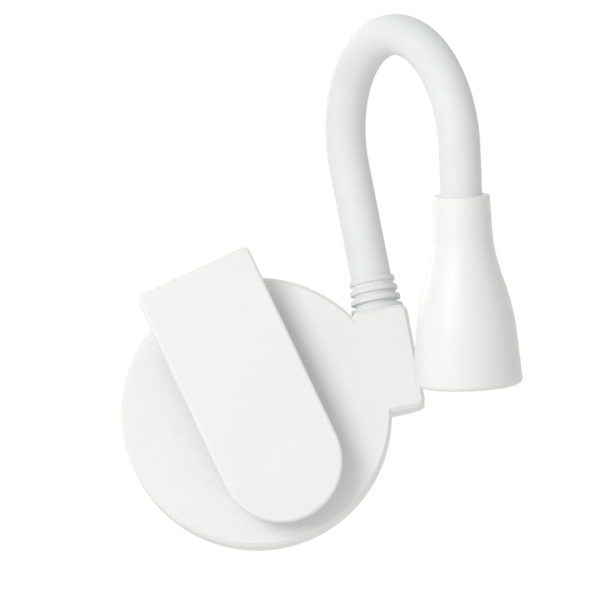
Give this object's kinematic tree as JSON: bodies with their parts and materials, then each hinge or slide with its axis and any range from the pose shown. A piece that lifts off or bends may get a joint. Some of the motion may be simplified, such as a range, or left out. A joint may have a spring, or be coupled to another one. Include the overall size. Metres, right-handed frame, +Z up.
{
  "type": "clip-on reading light",
  "caption": "Small white clip-on reading light: round housing with a sprung paddle clip and slide switch, a bendable neck in a loop and a bell-shaped lamp head.",
  "frame": {"origin": "on the round housing's axis, in the plane where the two closed jaws meet, which is the page's plane", "axes": "+X to the reader's right, +Y out of the housing's back, behind the page, +Z up the page to its top edge, so that the page leaves the jaws along -Z"},
  "size_m": [0.0673, 0.0349, 0.0644],
  "materials": {
    "white_shell": "fine matte moulded white",
    "white_knob": "satin ridged switch grip",
    "white_silicone": "soft matt silicone skin",
    "grip_silicone": "grooved pale grey silicone",
    "zinc_steel": "bright zinc plating",
    "spring_steel": "drawn spring wire",
    "cell_steel": "bright pressed can",
    "contact_metal": "stamped spring strip",
    "board": "green resin board",
    "lamp_board": "white resin board",
    "black_resin": "black moulded resin",
    "link_alloy": "dull turned alloy",
    "lead_jacket": "thin red jacket",
    "phosphor": "yellow lamp gel",
    "mirror_coat": "metallised reflector",
    "frosted_lens": "frosted diffuser"
  },
  "bodies": {
    "housing": {"front_plate": "white_shell", "rear_shell": "white_shell", "housing_screws": "zinc_steel", "coin_cell_front": "cell_steel", "coin_cell_rear": "cell_steel", "negative_contact": "contact_metal", "positive_contact": "contact_metal", "circuit_board": "board", "switch_body": "black_resin", "led_resistor": "black_resin", "plate_grip_pad": "grip_silicone", "hinge_pin": "zinc_steel", "clip_spring": "spring_steel", "neck_ferrule": "link_alloy", "neck_boot": "white_silicone", "neck_sleeve_0": "white_silicone", "neck_lead_0": "lead_jacket"},
    "battery_door": {"battery_door": "white_shell"},
    "switch_knob": {"switch_knob": "white_knob"},
    "clip": {"clip_paddle": "white_shell", "paddle_grip_pad": "grip_silicone"},
    "neck_1": {"neck_link_1": "link_alloy", "neck_sleeve_1": "white_silicone", "neck_lead_1": "lead_jacket"},
    "neck_2": {"neck_link_2": "link_alloy", "neck_sleeve_2": "white_silicone", "neck_lead_2": "lead_jacket"},
    "neck_3": {"neck_link_3": "link_alloy", "neck_sleeve_3": "white_silicone", "neck_lead_3": "lead_jacket"},
    "neck_4": {"neck_link_4": "link_alloy", "neck_sleeve_4": "white_silicone", "neck_lead_4": "lead_jacket"},
    "neck_5": {"neck_link_5": "link_alloy", "neck_sleeve_5": "white_silicone", "neck_lead_5": "lead_jacket"},
    "neck_6": {"neck_link_6": "link_alloy", "neck_sleeve_6": "white_silicone", "neck_lead_6": "lead_jacket"},
    "neck_7": {"neck_link_7": "link_alloy", "neck_sleeve_7": "white_silicone", "neck_lead_7": "lead_jacket"},
    "head": {"head_stub": "link_alloy", "neck_sleeve_8": "white_silicone", "neck_lead_8": "lead_jacket", "head_shell": "white_shell", "led_board": "lamp_board", "led": "phosphor", "reflector": "mirror_coat", "lens": "frosted_lens", "lens_ring": "white_shell"}
  },
  "joints": [
    {"name": "clip_hinge", "type": "hinge", "parent": "housing", "child": "clip", "pos_m": [0, -0.0011, 0.016], "axis": [-1, 0, 0], "range_deg": [0, 22], "stiffness_Nm_per_rad": 0.03, "springref_deg": -34.38, "deforming": ["clip_spring"]},
    {"name": "battery_door_turn", "type": "hinge", "parent": "housing", "child": "battery_door", "pos_m": [0, 0.009, 0.0035], "axis": [0, 1, 0], "range_deg": [0, 30]},
    {"name": "switch_slide", "type": "slide", "parent": "housing", "child": "switch_knob", "axis": [1, 0, 0], "range_m": [0, 0.003]},
    {"name": "neck_sway", "type": "hinge", "parent": "housing", "child": "neck_1", "pos_m": [0.02441, 0.0053, 0.0126], "axis": [0.4742, -0.8721, -0.1209], "range_deg": [-25, 25], "deforming": ["neck_sleeve_0", "neck_sleeve_1", "neck_sleeve_2", "neck_sleeve_3", "neck_sleeve_4", "neck_sleeve_5", "neck_sleeve_6", "neck_sleeve_7", "neck_sleeve_8", "neck_lead_0", "neck_lead_1", "neck_lead_2", "neck_lead_3", "neck_lead_4", "neck_lead_5", "neck_lead_6", "neck_lead_7", "neck_lead_8"]},
    {"name": "neck_curl_1", "type": "hinge", "parent": "neck_1", "child": "neck_2", "pos_m": [0.02972, 0.00474, 0.03216], "axis": [0.845, 0.4894, -0.2154], "range_deg": [-31, 1.2], "deforming": ["neck_sleeve_0", "neck_sleeve_1", "neck_sleeve_2", "neck_sleeve_3", "neck_sleeve_4", "neck_sleeve_5", "neck_sleeve_6", "neck_sleeve_7", "neck_sleeve_8", "neck_lead_0", "neck_lead_1", "neck_lead_2", "neck_lead_3", "neck_lead_4", "neck_lead_5", "neck_lead_6", "neck_lead_7", "neck_lead_8"]},
    {"name": "neck_curl_2", "type": "hinge", "parent": "neck_2", "child": "neck_3", "pos_m": [0.03388, 0.00051, 0.03885], "axis": [0.845, 0.4894, -0.2154], "range_deg": [-31, 1.2], "deforming": ["neck_sleeve_0", "neck_sleeve_1", "neck_sleeve_2", "neck_sleeve_3", "neck_sleeve_4", "neck_sleeve_5", "neck_sleeve_6", "neck_sleeve_7", "neck_sleeve_8", "neck_lead_0", "neck_lead_1", "neck_lead_2", "neck_lead_3", "neck_lead_4", "neck_lead_5", "neck_lead_6", "neck_lead_7", "neck_lead_8"]},
    {"name": "neck_curl_3", "type": "hinge", "parent": "neck_3", "child": "neck_4", "pos_m": [0.03865, -0.00659, 0.04143], "axis": [0.845, 0.4894, -0.2154], "range_deg": [-31, 1.2], "deforming": ["neck_sleeve_0", "neck_sleeve_1", "neck_sleeve_2", "neck_sleeve_3", "neck_sleeve_4", "neck_sleeve_5", "neck_sleeve_6", "neck_sleeve_7", "neck_sleeve_8", "neck_lead_0", "neck_lead_1", "neck_lead_2", "neck_lead_3", "neck_lead_4", "neck_lead_5", "neck_lead_6", "neck_lead_7", "neck_lead_8"]},
    {"name": "neck_curl_4", "type": "hinge", "parent": "neck_4", "child": "neck_5", "pos_m": [0.04251, -0.0143, 0.03907], "axis": [0.845, 0.4894, -0.2154], "range_deg": [-31, 1.2], "deforming": ["neck_sleeve_0", "neck_sleeve_1", "neck_sleeve_2", "neck_sleeve_3", "neck_sleeve_4", "neck_sleeve_5", "neck_sleeve_6", "neck_sleeve_7", "neck_sleeve_8", "neck_lead_0", "neck_lead_1", "neck_lead_2", "neck_lead_3", "neck_lead_4", "neck_lead_5", "neck_lead_6", "neck_lead_7", "neck_lead_8"]},
    {"name": "neck_curl_5", "type": "hinge", "parent": "neck_5", "child": "neck_6", "pos_m": [0.04423, -0.02014, 0.03253], "axis": [0.845, 0.4894, -0.2154], "range_deg": [-31, 1.2], "deforming": ["neck_sleeve_0", "neck_sleeve_1", "neck_sleeve_2", "neck_sleeve_3", "neck_sleeve_4", "neck_sleeve_5", "neck_sleeve_6", "neck_sleeve_7", "neck_sleeve_8", "neck_lead_0", "neck_lead_1", "neck_lead_2", "neck_lead_3", "neck_lead_4", "neck_lead_5", "neck_lead_6", "neck_lead_7", "neck_lead_8"]},
    {"name": "neck_curl_6", "type": "hinge", "parent": "neck_6", "child": "neck_7", "pos_m": [0.04325, -0.02226, 0.02391], "axis": [0.845, 0.4894, -0.2154], "range_deg": [-31, 1.2], "deforming": ["neck_sleeve_0", "neck_sleeve_1", "neck_sleeve_2", "neck_sleeve_3", "neck_sleeve_4", "neck_sleeve_5", "neck_sleeve_6", "neck_sleeve_7", "neck_sleeve_8", "neck_lead_0", "neck_lead_1", "neck_lead_2", "neck_lead_3", "neck_lead_4", "neck_lead_5", "neck_lead_6", "neck_lead_7", "neck_lead_8"]},
    {"name": "head_aim", "type": "hinge", "parent": "neck_7", "child": "head", "pos_m": [0.04043, -0.0207, 0.01638], "axis": [-0.3806, 0.8335, 0.4005], "range_deg": [-20, 20], "deforming": ["neck_sleeve_0", "neck_sleeve_1", "neck_sleeve_2", "neck_sleeve_3", "neck_sleeve_4", "neck_sleeve_5", "neck_sleeve_6", "neck_sleeve_7", "neck_sleeve_8", "neck_lead_0", "neck_lead_1", "neck_lead_2", "neck_lead_3", "neck_lead_4", "neck_lead_5", "neck_lead_6", "neck_lead_7", "neck_lead_8"]}
  ],
  "couplings": [
    {"joint": "neck_curl_2", "follows": "neck_curl_1", "ratio": 1},
    {"joint": "neck_curl_3", "follows": "neck_curl_1", "ratio": 1},
    {"joint": "neck_curl_4", "follows": "neck_curl_1", "ratio": 1},
    {"joint": "neck_curl_5", "follows": "neck_curl_1", "ratio": 1},
    {"joint": "neck_curl_6", "follows": "neck_curl_1", "ratio": 1}
  ]
}
